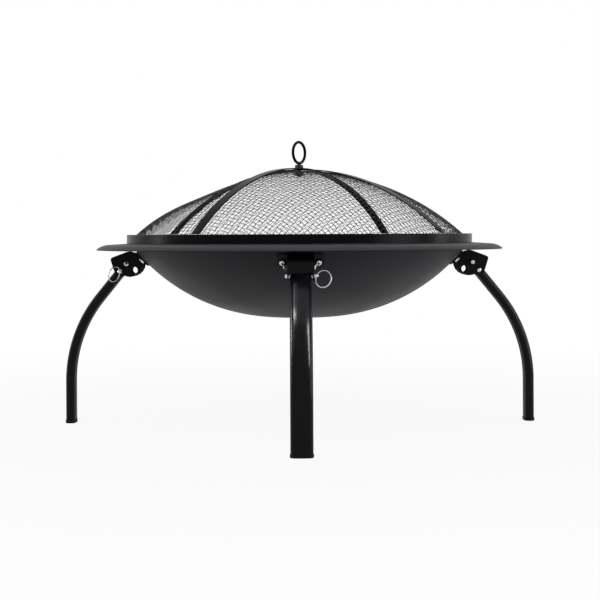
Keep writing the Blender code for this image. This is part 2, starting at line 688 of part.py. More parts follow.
def main():
    clear_scene()
    steel = material("bowl_steel", (0.045, 0.044, 0.043), 0.42, 0.6)
    black = material("black_steel", (0.02, 0.02, 0.021), 0.4, 0.5)
    gloss = material("leg_enamel", (0.012, 0.013, 0.015), 0.15, 0.0)
    wire = material("screen_wire", (0.06, 0.06, 0.06), 0.45, 0.8)
    plastic = material("foot_plastic", (0.015, 0.015, 0.015), 0.5, 0.0)
    zinc = material("zinc", (0.62, 0.62, 0.6), 0.28, 1.0)
    make_bowl(steel)
    make_brackets(black)
    make_bracket_screws(zinc)
    make_pivot_screws(zinc, black)
    make_legs(gloss)
    make_foot_caps(plastic)
    make_lock_pins(zinc)
    make_pull_rings(zinc)
    make_lid_band(black)
    make_arch("lid_arch_over", ARCH_R, ARCH_TURN, black)
    make_arch("lid_arch_under", UNDER_ARCH_R, ARCH_TURN + pi / 2, black)
    make_screen(wire)
    make_eye_bolt(zinc)
    make_eye_fasteners(black, zinc)


main()
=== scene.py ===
# %% [markdown]
# A portable fire pit is a pressed steel bowl on four folding legs, with a domed screen that keeps sparks
# in. The moving model is already packed as a frame, in metres, with the ground at z = 0 and the front leg
# towards -Y. This script dresses that frame: it gives each piece its fine surface and its finish, and
# keeps the object's size.

# %% Load the frame
import json
from math import asin, atan2, copysign, cos, pi, radians, sin, sqrt

import bmesh
import bpy
import numpy as np
from mathutils import Matrix, Vector

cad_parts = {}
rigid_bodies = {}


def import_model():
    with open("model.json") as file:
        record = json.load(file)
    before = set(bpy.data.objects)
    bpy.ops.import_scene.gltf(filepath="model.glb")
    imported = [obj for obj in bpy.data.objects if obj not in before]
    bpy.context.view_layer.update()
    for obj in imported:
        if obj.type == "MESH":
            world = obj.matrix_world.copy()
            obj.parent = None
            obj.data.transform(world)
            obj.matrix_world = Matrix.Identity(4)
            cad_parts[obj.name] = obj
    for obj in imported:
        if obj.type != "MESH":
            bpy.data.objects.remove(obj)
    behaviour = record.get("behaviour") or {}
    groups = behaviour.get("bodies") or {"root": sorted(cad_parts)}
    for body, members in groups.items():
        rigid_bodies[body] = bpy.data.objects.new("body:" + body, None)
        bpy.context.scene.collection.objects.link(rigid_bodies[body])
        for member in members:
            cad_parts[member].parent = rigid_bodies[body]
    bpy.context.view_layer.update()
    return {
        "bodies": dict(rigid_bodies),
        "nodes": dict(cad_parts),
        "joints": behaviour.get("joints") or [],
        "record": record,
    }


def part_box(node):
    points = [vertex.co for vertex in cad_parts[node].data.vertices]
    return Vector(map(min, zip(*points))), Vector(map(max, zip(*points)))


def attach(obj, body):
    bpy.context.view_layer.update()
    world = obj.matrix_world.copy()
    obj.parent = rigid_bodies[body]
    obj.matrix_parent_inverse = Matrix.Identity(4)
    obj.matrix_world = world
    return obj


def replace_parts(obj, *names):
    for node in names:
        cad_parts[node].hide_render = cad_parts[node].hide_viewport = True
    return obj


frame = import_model()
nodes = frame["nodes"]

# %% [markdown]
# The photograph was taken from far away with a long lens, with the camera level with the top of the lid's
# band. The bowl's axis is near the middle of the picture, and the horizon is above the middle, so the
# lens is shifted down. The focal length is written in pixels of a 600 pixel picture, because that is how
# it can be measured.

# %% Camera
PICTURE = 600
SENSOR_MM = 36.0
FOCAL_PIXELS = 1385.0
CAMERA_DISTANCE = 1.929
EYE_HEIGHT = 0.260
HORIZON_ROW = 234.2
AXIS_COLUMN = 299.4
CAMERA_TURN = radians(0.32)
CAMERA_ROLL = radians(-0.27)

camera_data = bpy.data.cameras.new("camera")
camera_data.sensor_width = SENSOR_MM
camera_data.lens = camera_data.sensor_width * FOCAL_PIXELS / PICTURE
camera_data.shift_y = (HORIZON_ROW - PICTURE / 2) / PICTURE
camera_data.shift_x = (PICTURE / 2 - AXIS_COLUMN) / PICTURE
camera = bpy.data.objects.new("camera", camera_data)
camera.location = (-CAMERA_DISTANCE * sin(CAMERA_TURN), -CAMERA_DISTANCE * cos(CAMERA_TURN), EYE_HEIGHT)
level = Matrix.Rotation(-CAMERA_TURN, 4, "Z") @ Matrix.Rotation(pi / 2, 4, "X")
camera.rotation_euler = (level @ Matrix.Rotation(CAMERA_ROLL, 4, "Z")).to_euler()
bpy.context.scene.collection.objects.link(camera)
bpy.context.scene.camera = camera
print("lens", round(camera_data.lens, 1), "mm")

# %% [markdown]
# Shader maths reads best as ordinary arithmetic. A Wire stands for one output of a node, and adding or
# multiplying it adds the Math node that does so. A Finish is one material, and its add method makes every
# other kind of node.

# %% Shader arithmetic
class Wire:
    """One output socket of a material's node, which can be used in arithmetic."""

    def __init__(self, finish, socket):
        self.finish = finish
        self.socket = socket

    def maths(self, operation, *values, clamp=False):
        settings = {"operation": operation, "use_clamp": clamp}
        return self.finish.add("ShaderNodeMath", settings, dict(enumerate(values)))

    def __add__(self, other):
        return self.maths("ADD", self, other)

    def __radd__(self, other):
        return self.maths("ADD", other, self)

    def __sub__(self, other):
        return self.maths("SUBTRACT", self, other)

    def __rsub__(self, other):
        return self.maths("SUBTRACT", other, self)

    def __mul__(self, other):
        return self.maths("MULTIPLY", self, other)

    def root(self):
        return self.maths("SQRT", self)

    def held(self):
        """The value kept between 0 and 1."""
        return self.maths("ADD", self, 0.0, clamp=True)


class Finish:
    """A material with a Principled shader, whose other nodes are added one at a time."""

    def __init__(self, name, colour, roughness, metallic=0.0, specular=0.5):
        self.material = bpy.data.materials.new(name)
        self.material.use_nodes = True
        self.tree = self.material.node_tree
        self.shader = self.tree.nodes["Principled BSDF"]
        self.material.diffuse_color = (*colour, 1.0)
        self.feed("Base Color", (*colour, 1.0))
        self.feed("Roughness", roughness)
        self.feed("Metallic", metallic)
        self.feed("Specular IOR Level", specular)

    def join(self, socket, value):
        if isinstance(value, Wire):
            self.tree.links.new(value.socket, socket)
        else:
            socket.default_value = value

    def add(self, kind, settings=None, sockets=None, output=0):
        """Adds a node, sets it up, joins or sets its sockets, and returns one of its outputs."""
        node = self.tree.nodes.new(kind)
        for setting, value in (settings or {}).items():
            setattr(node, setting, value)
        for socket, value in (sockets or {}).items():
            self.join(node.inputs[socket], value)
        return Wire(self, node.outputs[output])

    def feed(self, socket, value):
        self.join(self.shader.inputs[socket], value)

    def place(self):
        """The point on the object, in metres."""
        return self.add("ShaderNodeTexCoord", output="Object")

    def length(self, vector):
        return self.add("ShaderNodeVectorMath", {"operation": "LENGTH"}, {0: vector}, output="Value")

    def noise(self, scale, detail=3.0, roughness=0.55):
        sockets = {"Vector": self.place(), "Scale": scale, "Detail": detail, "Roughness": roughness}
        return self.add("ShaderNodeTexNoise", {}, sockets)

    def band(self, value, low, high):
        """Value turned into 0 at low and 1 at high, with nothing outside that range."""
        sockets = {"Value": value, "From Min": low, "From Max": high}
        return self.add("ShaderNodeMapRange", {"clamp": True}, sockets)

    def mix(self, factor, first, second):
        """Two colours mixed, at 0 the first and at 1 the second."""
        first = first if isinstance(first, Wire) else (*first, 1.0)
        second = second if isinstance(second, Wire) else (*second, 1.0)
        return self.add("ShaderNodeMix", {"data_type": "RGBA"}, {0: factor, 6: first, 7: second}, output=2)

    def bump(self, height, depth, strength):
        """Feeds a height between 0 and 1 to the surface as bumps that are depth metres tall."""
        bent = self.add("ShaderNodeBump", {}, {"Height": height, "Distance": depth, "Strength": strength})
        self.feed("Normal", bent)


# %% [markdown]
# The bowl and its rim are steel under a matt, heat-proof paint. Such paint dries to a fine dry grain, and
# it is never quite even: broad cloudy patches are a little lighter and rougher than the rest. Three
# noises at different scales give the patches, the grain and a paler dust, and the finest one lifts the
# surface a few hundredths of a millimetre. The black has a trace of violet, and it mirrors less than a
# plain plastic would, so its specular level is low.

# %% Matt bowl paint
# This finish also carries painted shade along the rim's lowest edge, added further down.
bowl_paint_and_rim_shade = Finish("bowl_paint_and_rim_shade", (0.016, 0.0138, 0.0168), 0.5, specular=0.13)
clouds = bowl_paint_and_rim_shade.band(bowl_paint_and_rim_shade.noise(14.0, 4.0), 0.35, 0.68)
grain = bowl_paint_and_rim_shade.noise(1500.0, 2.0, 0.6)
dust = bowl_paint_and_rim_shade.band(bowl_paint_and_rim_shade.noise(420.0, 3.0, 0.7), 0.56, 0.74)
shade = bowl_paint_and_rim_shade.mix(clouds, (0.0135, 0.0114, 0.0142), (0.0195, 0.0168, 0.0202))
bowl_paint_and_rim_shade.feed("Base Color", bowl_paint_and_rim_shade.mix(dust * 0.35, shade, (0.045, 0.04, 0.046)))
bowl_paint_and_rim_shade.feed("Roughness", (0.44 + clouds * 0.1 + grain * 0.08).held())
bowl_paint_and_rim_shade.bump(grain, 0.00006, 0.5)
print("bowl paint has", len(bowl_paint_and_rim_shade.tree.nodes), "nodes")

# %% [markdown]
# The lid's band, arches and eye bolt are black satin paint over steel. Sprayed paint settles in soft
# ripples, like the peel of an orange, and handling rubs it smoother in patches.

# %% Satin black paint
satin_black = Finish("satin_black", (0.0018, 0.0016, 0.0025), 0.3, specular=0.045)
peel = satin_black.noise(700.0, 2.0, 0.5)
rubbed = satin_black.band(satin_black.noise(38.0, 5.0, 0.65), 0.4, 0.7)
satin_black.feed("Base Color", satin_black.mix(rubbed, (0.0012, 0.001, 0.0018), (0.0026, 0.0023, 0.0034)))
satin_black.feed("Roughness", (0.24 + rubbed * 0.07 + peel * 0.04).held())
satin_black.bump(peel, 0.00005, 0.6)

# %% [markdown]
# The legs are gloss enamel: almost black, slightly blue, with a smooth top. What shows is what they
# mirror, so the paint has only a faint waviness, from the tube below it, and a few dull smears where
# hands have been. Seen edge on it is duller, so that the white room doesn't draw a pale line down each
# side of a leg.

# %% Gloss leg enamel
leg_enamel = Finish("leg_enamel", (0.0025, 0.0024, 0.0042), 0.14, specular=0.1)
wavy = leg_enamel.noise(55.0, 2.0, 0.4)
smears = leg_enamel.band(leg_enamel.noise(26.0, 6.0, 0.7), 0.52, 0.72)
leg_enamel.feed("Base Color", leg_enamel.mix(smears, (0.0018, 0.0017, 0.0034), (0.0052, 0.005, 0.0074)))
edge_on = leg_enamel.add("ShaderNodeLayerWeight", {}, {"Blend": 0.25}, output="Facing")
leg_enamel.feed("Roughness", (0.13 + smears * 0.1 + edge_on * 0.75).held())
leg_enamel.bump(wavy, 0.00025, 0.35)

# %% [markdown]
# The spark screen is woven from thin painted steel wire. At this size each wire is a hair wide, so its
# finish only needs a colour that changes slowly along it, from fresh black to rubbed grey.

# %% Screen wire
screen_wire = Finish("screen_wire", (0.025, 0.023, 0.026), 0.42, metallic=0.2, specular=0.25)
worn = screen_wire.band(screen_wire.noise(60.0, 4.0, 0.7), 0.35, 0.7)
screen_wire.feed("Base Color", screen_wire.mix(worn, (0.01, 0.009, 0.0105), (0.045, 0.041, 0.045)))
screen_wire.feed("Roughness", (0.36 + worn * 0.16).held())
screen_wire.bump(screen_wire.noise(2400.0, 1.0), 0.00002, 0.4)

# %% [markdown]
# Screws, pins and rings are zinc plated. Zinc is a pale, slightly blue metal with a cloudy spangle, and
# the plating turns duller where it is thin. The lid's nuts and washer and the pivots' nuts are blackened
# in oil instead, which leaves soft uneven patches. The foot caps are plain moulded plastic with a fine
# spark-eroded grain.

# %% Zinc plating, blackened steel and moulded plastic
zinc = Finish("zinc_plate", (0.55, 0.56, 0.58), 0.28, metallic=1.0)
spangle = zinc.band(zinc.noise(900.0, 3.0, 0.6), 0.38, 0.66)
thin = zinc.band(zinc.noise(160.0, 4.0, 0.6), 0.5, 0.75)
bright = zinc.mix(spangle, (0.5, 0.51, 0.54), (0.66, 0.67, 0.69))
zinc.feed("Base Color", zinc.mix(thin * 0.6, bright, (0.3, 0.29, 0.28)))
zinc.feed("Roughness", (0.2 + spangle * 0.1 + thin * 0.15).held())
zinc.bump(spangle, 0.00002, 0.3)

# The same dark finish is also put on the screws' cross recesses as painted shade.
blackened_and_recess_shade = Finish("blackened_steel", (0.012, 0.012, 0.014), 0.3, metallic=0.3, specular=0.3)
oiled = blackened_and_recess_shade.band(blackened_and_recess_shade.noise(240.0, 4.0, 0.6), 0.4, 0.7)
blackened_and_recess_shade.feed("Base Color", blackened_and_recess_shade.mix(oiled, (0.006, 0.006, 0.008), (0.022, 0.021, 0.025)))
blackened_and_recess_shade.feed("Roughness", (0.22 + oiled * 0.16).held())
blackened_and_recess_shade.bump(oiled, 0.00002, 0.4)

plastic = Finish("foot_plastic", (0.004, 0.004, 0.0045), 0.6, specular=0.1)
pores = plastic.noise(2600.0, 2.0, 0.5)
scuffs = plastic.band(plastic.noise(210.0, 5.0, 0.75), 0.55, 0.75)
plastic.feed("Base Color", plastic.mix(scuffs, (0.0025, 0.0025, 0.003), (0.009, 0.0088, 0.009)))
plastic.feed("Roughness", (0.55 + scuffs * 0.2).held())
plastic.bump(pores, 0.00005, 0.5)

# %% [markdown]
# Most pieces are turned or swept: a section carried round the axis or along a line. One helper joins
# rings of points with faces, and the others work out the rings. Round sides are shaded smooth and real
# corners are kept sharp.

# %% Mesh helpers
SHARP = radians(38)


def piece(name, bm, finish, body=None):
    """An object from a bmesh, with its finish, riding on a body of the frame."""
    bmesh.ops.recalc_face_normals(bm, faces=bm.faces)
    mesh = bpy.data.meshes.new(name)
    bm.to_mesh(mesh)
    bm.free()
    mesh.shade_smooth()
    mesh.set_sharp_from_angle(angle=SHARP)
    mesh.materials.append(finish.material)
    made = bpy.data.objects.new(name, mesh)
    bpy.context.scene.collection.objects.link(made)
    if body:
        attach(made, body)
    return made


def skin(bm, rings, closed=False):
    """Joins rings with as many points each into a tube, capped at its ends or joined end to end."""
    loops = [[bm.verts.new(point) for point in ring] for ring in rings]
    pairs = list(zip(loops, loops[1:]))
    if closed:
        pairs.append((loops[-1], loops[0]))
    else:
        bm.faces.new(loops[0])
        bm.faces.new(loops[-1])
    for first, second in pairs:
        count = len(first)
        for i in range(count):
            bm.faces.new((first[i], first[(i + 1) % count], second[(i + 1) % count], second[i]))


def arc(centre, radius, start, end, steps):
    angles = [start + (end - start) * i / steps for i in range(steps + 1)]
    return [Vector((centre[0] + radius * cos(a), centre[1] + radius * sin(a))) for a in angles]


def circle(radius, steps):
    return arc((0.0, 0.0), radius, 0.0, 2 * pi * (steps - 1) / steps, steps - 1)


def parallel(points, distance):
    """An open line moved sideways, to the left of its direction, with mitred corners."""
    sides = []
    for a, b in zip(points, points[1:]):
        along = (b - a).normalized()
        sides.append(Vector((-along.y, along.x)))
    moved = []
    for i, point in enumerate(points):
        before, after = sides[max(i - 1, 0)], sides[min(i, len(sides) - 1)]
        middle = (before + after).normalized()
        moved.append(point + middle * distance / middle.dot(after))
    return moved


def close_poles(bm, heights, pole_r):
    """Fills the small holes that a turned profile leaves by stopping a pole's radius short of the axis."""
    for height in heights:
        ring = [v for v in bm.verts if abs(v.co.z - height) < 1e-6 and v.co.xy.length < 2 * pole_r]
        bmesh.ops.contextual_create(bm, geom=ring)


def turn(bm, profile, steps=192):
    """Turns a closed (radius, height) profile about Z."""
    rings = []
    for i in range(steps):
        a = 2 * pi * i / steps
        rings.append([(radius * cos(a), radius * sin(a), height) for radius, height in profile])
    skin(bm, rings, closed=True)


# %% [markdown]
# The bowl is one pressing. Its side view is an arc from a small flat bottom to the mouth, then a nearly
# level flange, then a roll that turns the edge down. The bottom's height comes from the frame, so the
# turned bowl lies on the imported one, with four times the facets and a soft bend where the dish meets the
# flange.

# %% Bowl
BOWL_WALL = 0.0012
BOWL_FLAT_R = 0.030
MOUTH_R = 0.233
BOWL_DEPTH = 0.1011
FLANGE_START = 0.005
FLANGE_WIDTH = 0.0267
FLANGE_DROP = 0.0016
ROLL_R = 0.025
ROLL_END = radians(42)
BOWL_POLE_R = 0.0005
DISH_STEPS = 56
ROLL_STEPS = 10

BOWL_BOTTOM_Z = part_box("bowl")[0].z
BOWL_ARC_R = ((MOUTH_R - BOWL_FLAT_R) ** 2 + BOWL_DEPTH**2) / (2 * BOWL_DEPTH)
MOUTH_UNDER_Z = BOWL_BOTTOM_Z + BOWL_DEPTH


def bowl_line():
    """The bowl's underside from its axis to the edge of the rim."""
    dish_end = asin((MOUTH_R - BOWL_FLAT_R) / BOWL_ARC_R)
    middle = (BOWL_FLAT_R, BOWL_BOTTOM_Z + BOWL_ARC_R)
    dish = arc(middle, BOWL_ARC_R, -pi / 2, dish_end - pi / 2, DISH_STEPS)
    slope = atan2(FLANGE_DROP, FLANGE_WIDTH)
    start = Vector((MOUTH_R + FLANGE_START, MOUTH_UNDER_Z))
    bend = start + Vector((FLANGE_WIDTH, -FLANGE_DROP))
    roll_r = ROLL_R - BOWL_WALL
    centre = bend - roll_r * Vector((sin(slope), cos(slope)))
    roll = arc(centre, roll_r, pi / 2 - slope, pi / 2 - ROLL_END, ROLL_STEPS)
    return [Vector((BOWL_POLE_R, BOWL_BOTTOM_Z))] + dish + [start] + roll


def make_bowl():
    under = bowl_line()
    upper = parallel(under, BOWL_WALL)
    bm = bmesh.new()
    turn(bm, under + upper[::-1])
    close_poles(bm, (BOWL_BOTTOM_Z, BOWL_BOTTOM_Z + BOWL_WALL), BOWL_POLE_R)
    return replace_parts(piece("bowl_skin", bm, bowl_paint_and_rim_shade, "base"), "bowl")


bowl = make_bowl()
print("bowl", len(bowl.data.polygons), "faces")

# %% [markdown]
# The rim's edge is where the press cut the sheet. It faces down and catches no light, so a darker colour
# is painted along it as painted shade, a fine dark line under the rim. The height on the object says where
# it is, because nothing else of the rim is as low.

# %% Painted shade under the rim's edge
RIM_SHADE_RISE = 0.0016
RIM_SHADE_FROM = 0.012
RIM_SHADE_FULL = 0.01
rim_end = bowl_line()[-1]
flattened = {0: bowl_paint_and_rim_shade.place(), 1: (1.0, 1.0, 0.0)}
across = bowl_paint_and_rim_shade.add("ShaderNodeVectorMath", {"operation": "MULTIPLY"}, flattened)
radius = bowl_paint_and_rim_shade.length(across)
height = bowl_paint_and_rim_shade.add("ShaderNodeSeparateXYZ", {}, {0: bowl_paint_and_rim_shade.place()}, output="Z")
# Painted shade: the rim's outermost, lowest strip is darkened, as if unlit.
rim_shade_ring = bowl_paint_and_rim_shade.band(radius, rim_end.x - RIM_SHADE_FROM, rim_end.x - RIM_SHADE_FULL)
above_rim_shade = bowl_paint_and_rim_shade.band(height, rim_end.y + 0.5 * RIM_SHADE_RISE, rim_end.y + RIM_SHADE_RISE)
painted = Wire(bowl_paint_and_rim_shade, bowl_paint_and_rim_shade.shader.inputs["Base Color"].links[0].from_socket)
bowl_paint_and_rim_shade.feed("Base Color", bowl_paint_and_rim_shade.mix(rim_shade_ring * (1 - above_rim_shade), painted, (0.0035, 0.003, 0.0038)))

# %% [markdown]
# The band is a rolled hoop whose top edge is turned in as a lip. The hoop carries everything else on the
# lid.

# %% Lid band
BAND_SHEET = 0.0012
band_low, band_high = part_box("lid_band")
BAND_R = band_high.x
LIP_TOP_Z = band_high.z
LIP_R = min(Vector(v.co).xy.length for v in nodes["lid_band"].data.vertices)
BAND_EDGE_R = 0.0012
BAND_EDGE_STEPS = 6


def make_band():
    corner = (BAND_R - BAND_EDGE_R, LIP_TOP_Z - BAND_EDGE_R)
    outside = [Vector((LIP_R, LIP_TOP_Z))] + arc(corner, BAND_EDGE_R, pi / 2, 0.0, BAND_EDGE_STEPS)
    outside.append(Vector((BAND_R, band_low.z)))
    inner_r = BAND_R - BAND_SHEET
    inside = [Vector((inner_r, band_low.z)), Vector((inner_r, LIP_TOP_Z - BAND_SHEET))]
    inside.append(Vector((LIP_R, LIP_TOP_Z - BAND_SHEET)))
    bm = bmesh.new()
    turn(bm, outside + inside)
    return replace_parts(piece("lid_band_skin", bm, satin_black, "lid"), "lid_band")


make_band()
print("band", round(BAND_R * 2000), "mm across")

# %% [markdown]
# Two flat bars cross over the screen. Each is bent to one circle, whose centre is far below the lid, and
# the upper one passes over the lower at the top. The bars are thin, so their edges are only just eased.

# %% Lid arches
ARCH_R = 0.337
ARCH_WIDTH = 0.014
ARCH_THICKNESS = 0.0015
ARCH_EASE = 0.0003
ARCH_STEPS = 96
ARCH_TURN = radians(-35)
PIECE_GAP = 0.0003
arch_low, arch_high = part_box("lid_arch_over")
ARCH_CENTRE_Z = arch_high.z - ARCH_R
ARCH_END_Z = arch_low.z
UNDER_ARCH_R = ARCH_R - ARCH_THICKNESS - PIECE_GAP
SCREEN_R = UNDER_ARCH_R - ARCH_THICKNESS - PIECE_GAP


def make_arch(name, radius, direction, node):
    reach = asin(sqrt(radius**2 - (ARCH_END_Z - ARCH_CENTRE_Z) ** 2) / radius)
    half, eased = ARCH_WIDTH / 2, ARCH_EASE
    section = [(eased - half, 0.0), (half - eased, 0.0), (half, -eased), (half, eased - ARCH_THICKNESS)]
    section += [(half - eased, -ARCH_THICKNESS), (eased - half, -ARCH_THICKNESS)]
    section += [(-half, eased - ARCH_THICKNESS), (-half, -eased)]
    rings = []
    for i in range(ARCH_STEPS + 1):
        lean = reach * (2 * i / ARCH_STEPS - 1)
        ring = []
        for x, lift in section:
            height = max(ARCH_CENTRE_Z + (radius + lift) * cos(lean), ARCH_END_Z)
            point = Vector((x, (radius + lift) * sin(lean), height))
            ring.append(Matrix.Rotation(direction, 3, "Z") @ point)
        rings.append(ring)
    bm = bmesh.new()
    skin(bm, rings)
    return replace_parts(piece(name, bm, satin_black, "lid"), node)


make_arch("lid_arch_over_skin", ARCH_R, ARCH_TURN, "lid_arch_over")
make_arch("lid_arch_under_skin", UNDER_ARCH_R, ARCH_TURN + pi / 2, "lid_arch_under")

# %% [markdown]
# The screen is plain weave: wires in two directions, each passing over one and under the next, in line
# with the two arches. The cloth was flat before it was pressed over a dome, so its wires lie in upright
# planes that are evenly spaced along the dome, and closer together as seen from above towards the edge.
# Between the arches the cloth is slack and sags by a few millimetres. It stops about a millimetre short
# of the band's lip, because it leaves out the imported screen's hem. Thousands of wire bends are one mesh,
# built with arrays, because separate curves would be slow.

# %% Woven screen
WIRE_PITCHES = (0.0072, 0.0066)
WIRE_R = 0.00034
WEAVE = 0.00034
SCREEN_DEPTH = 0.0008
SAG = {"left": 0.0085, "front": 0.0035, "right": 0.001, "back": 0.004}
SCREEN_EDGE_R = 0.2265
PACKED_EDGE_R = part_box("lid_screen")[1].x
POINTS_PER_WIRE = 4


def panel_sag(x, y):
    """How far the cloth hangs below the sphere, by the panel between two arches that a point lies in."""
    around = np.arctan2(x, -y) - ARCH_TURN
    quarter = np.floor(around / (pi / 2)) % 4
    depth = np.choose(quarter.astype(int), [SAG["front"], SAG["right"], SAG["back"], SAG["left"]])
    out = np.clip(np.hypot(x, y) / SCREEN_EDGE_R, 0.0, 1.0)
    return depth * np.sin(2 * around) ** 2 * np.sin(pi * out) ** 2 * np.sign(out)


def plane_offset(number, pitch):
    """How far from the middle a wire's plane is, seen from above, for wires a pitch apart on the dome."""
    return SCREEN_R * np.sin(number * pitch / SCREEN_R)


def wire_lines(sideways):
    """Points of every wire in one direction: a list of (count, 3) arrays."""
    pitch, crossing_pitch = WIRE_PITCHES[sideways], WIRE_PITCHES[1 - sideways]
    lines = []
    reach = int(SCREEN_R * asin(SCREEN_EDGE_R / SCREEN_R) / pitch)
    for number in range(-reach, reach + 1):
        offset = plane_offset(number, pitch)
        half = sqrt(SCREEN_EDGE_R**2 - offset**2)
        points = int(SCREEN_R * asin(half / SCREEN_R) / crossing_pitch * POINTS_PER_WIRE)
        if points < POINTS_PER_WIRE:
            continue
        steps = np.arange(-points, points + 1) / POINTS_PER_WIRE
        along = plane_offset(steps, crossing_pitch)
        u, v = (along, np.full(len(along), offset)) if sideways else (np.full(len(along), offset), along)
        x = u * cos(ARCH_TURN) - v * sin(ARCH_TURN)
        y = u * sin(ARCH_TURN) + v * cos(ARCH_TURN)
        lift = np.cos(pi * (steps + number + sideways))
        sphere = ARCH_CENTRE_Z + np.sqrt((SCREEN_R - SCREEN_DEPTH) ** 2 - x**2 - y**2)
        lines.append(np.stack([x, y, sphere - panel_sag(x, y) + WEAVE * lift], axis=1))
    return lines


def tube_mesh(name, lines, radius, sides=4):
    """One mesh of thin tubes along lines of points."""
    vertices, faces, first = [], [], 0
    for line in lines:
        ahead = np.gradient(line, axis=0)
        ahead /= np.linalg.norm(ahead, axis=1, keepdims=True)
        side = np.cross(ahead, (0.0, 0.0, 1.0))
        side /= np.linalg.norm(side, axis=1, keepdims=True)
        lifted = np.cross(side, ahead)
        turns = [2 * pi * (k + 0.5) / sides for k in range(sides)]
        ring = [line + radius * (cos(t) * side + sin(t) * lifted) for t in turns]
        vertices.append(np.stack(ring, axis=1).reshape(-1, 3))
        rows = np.arange(len(line) - 1)[:, None] * sides + first
        k = np.arange(sides)[None, :]
        after = (k + 1) % sides
        corners = [rows + k, rows + after, rows + sides + after, rows + sides + k]
        faces.append(np.stack(corners, axis=2).reshape(-1, 4))
        last = first + (len(line) - 1) * sides
        faces.append(np.array([range(first + sides - 1, first - 1, -1), range(last, last + sides)]))
        first += len(line) * sides
    mesh = bpy.data.meshes.new(name)
    mesh.from_pydata(np.concatenate(vertices).tolist(), [], np.concatenate(faces).tolist())
    mesh.shade_smooth()
    return mesh


screen_mesh = tube_mesh("screen_cloth", wire_lines(0) + wire_lines(1), WIRE_R)
screen_mesh.materials.append(screen_wire.material)
screen = bpy.data.objects.new("screen_cloth", screen_mesh)
bpy.context.scene.collection.objects.link(screen)
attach(screen, "lid")
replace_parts(screen, "lid_screen")
hem = round((PACKED_EDGE_R - SCREEN_EDGE_R) * 1000, 1)
print("screen", len(screen_mesh.polygons), "faces, ending", hem, "mm inside the packed hem")

# %% [markdown]
# The eye bolt is one bar bent to a ring on top of a threaded shank, standing in line with the upper arch.
# The ring is turned finely, because it is the roundest thing in the picture.

# %% Eye bolt
EYE_WIRE_R = 0.002
EYE_SHANK_R = 0.0023
THREAD_DEPTH = 0.00025
EYE_STEPS = 72
EYE_SIDES = 16
THREAD_STEPS = 60
SHANK_SIDES = 24
eye_low, eye_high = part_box("lid_eye_bolt")
EYE_OUTER_R = 0.01665


def make_eye_bolt():
    centre = Vector((0.0, 0.0, eye_high.z - EYE_OUTER_R))
    stand = Matrix.Rotation(ARCH_TURN, 3, "Z")
    bm = bmesh.new()
    rings = []
    for i in range(EYE_STEPS):
        a = 2 * pi * i / EYE_STEPS
        out = Vector((0.0, cos(a), sin(a)))
        spine = centre + (EYE_OUTER_R - EYE_WIRE_R) * out
        section = circle(EYE_WIRE_R, EYE_SIDES)
        rings.append([stand @ (spine + p.x * out + Vector((p.y, 0.0, 0.0))) for p in section])
    skin(bm, rings, closed=True)
    thread = []
    top = eye_high.z - 2 * EYE_OUTER_R + EYE_WIRE_R
    for i in range(THREAD_STEPS + 1):
        z = eye_low.z + (top - eye_low.z) * i / THREAD_STEPS
        radius = EYE_SHANK_R - (THREAD_DEPTH if i % 2 else 0.0)
        thread.append([(p.x, p.y, z) for p in circle(radius, SHANK_SIDES)])
    skin(bm, thread)
    return piece("lid_eye_bolt_skin", bm, satin_black, "lid")


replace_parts(make_eye_bolt(), "lid_eye_bolt")

# %% [markdown]
# Each leg is one length of thin-walled tube, rolled flat, so that its corners are round and its wide
# faces bulge a little. Without that bulge the enamel would mirror each lamp as a hard-edged patch. It
# starts straight at the hinge, slopes out at 39 degrees from vertical, and bends on one large radius
# until it stands upright. The side view is worked out once, the section is swept along it, and the hinge
# hole and the lock pin's slot are cut through.

# %% Legs
LEG_COUNT = 4
PIVOT = Vector((0.239, 0.2205))
LEG_SLOPE = radians(39)
LEG_BEND_R = 0.1825
FOOT_R = 0.318
LEG_WIDTH = 0.027
LEG_DEPTH = 0.014
LEG_CORNER_R = 0.0045
LEG_CROWN = 0.002
LEG_WALL = 0.0015
LEG_TOP = 0.0095
TUBE_END_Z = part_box("leg_1")[0].z
PIN_REACH = 0.014
SLOT_HALF = 0.00335
PIVOT_HOLE_R = 0.0028
SLOT_SWEEP = radians(75)
LEG_BEND_STEPS = 28
HOLE_SIDES = 24
SLOT_STEPS = 20
SLOT_END_STEPS = 12
LEG_DOWN = Vector((sin(LEG_SLOPE), -cos(LEG_SLOPE)))
LEG_OUT = Vector((cos(LEG_SLOPE), sin(LEG_SLOPE)))


def side_point(point, x=0.0):
    """A (radius, height) point of the side view as a point of the front leg."""
    return Vector((x, -point[0], point[1]))


def leg_turn(index):
    return Matrix.Rotation(2 * pi * index / LEG_COUNT, 4, "Z")


def tube_section(inset=0.0, corner_steps=7, face_steps=8):
    """The tube's outline, smaller all round by an inset: round corners, and two wide faces that bulge."""
    width, depth, radius = LEG_WIDTH - 2 * inset, LEG_DEPTH - 2 * inset, LEG_CORNER_R - inset
    x, y = width / 2 - radius, depth / 2 - LEG_CROWN - radius
    outline = []
    for side, start in ((1, 0.0), (-1, pi)):
        outline += arc((side * x, side * y), radius, start, start + pi / 2, corner_steps)
        across = [side * x * (1 - 2 * i / face_steps) for i in range(1, face_steps)]
        outline += [Vector((point, side * (y + radius))) for point in across]
        outline += arc((-side * x, side * y), radius, start + pi / 2, start + pi, corner_steps)
    return [Vector((p.x, p.y + copysign(LEG_CROWN * (1 - (2 * p.x / width) ** 2), p.y))) for p in outline]


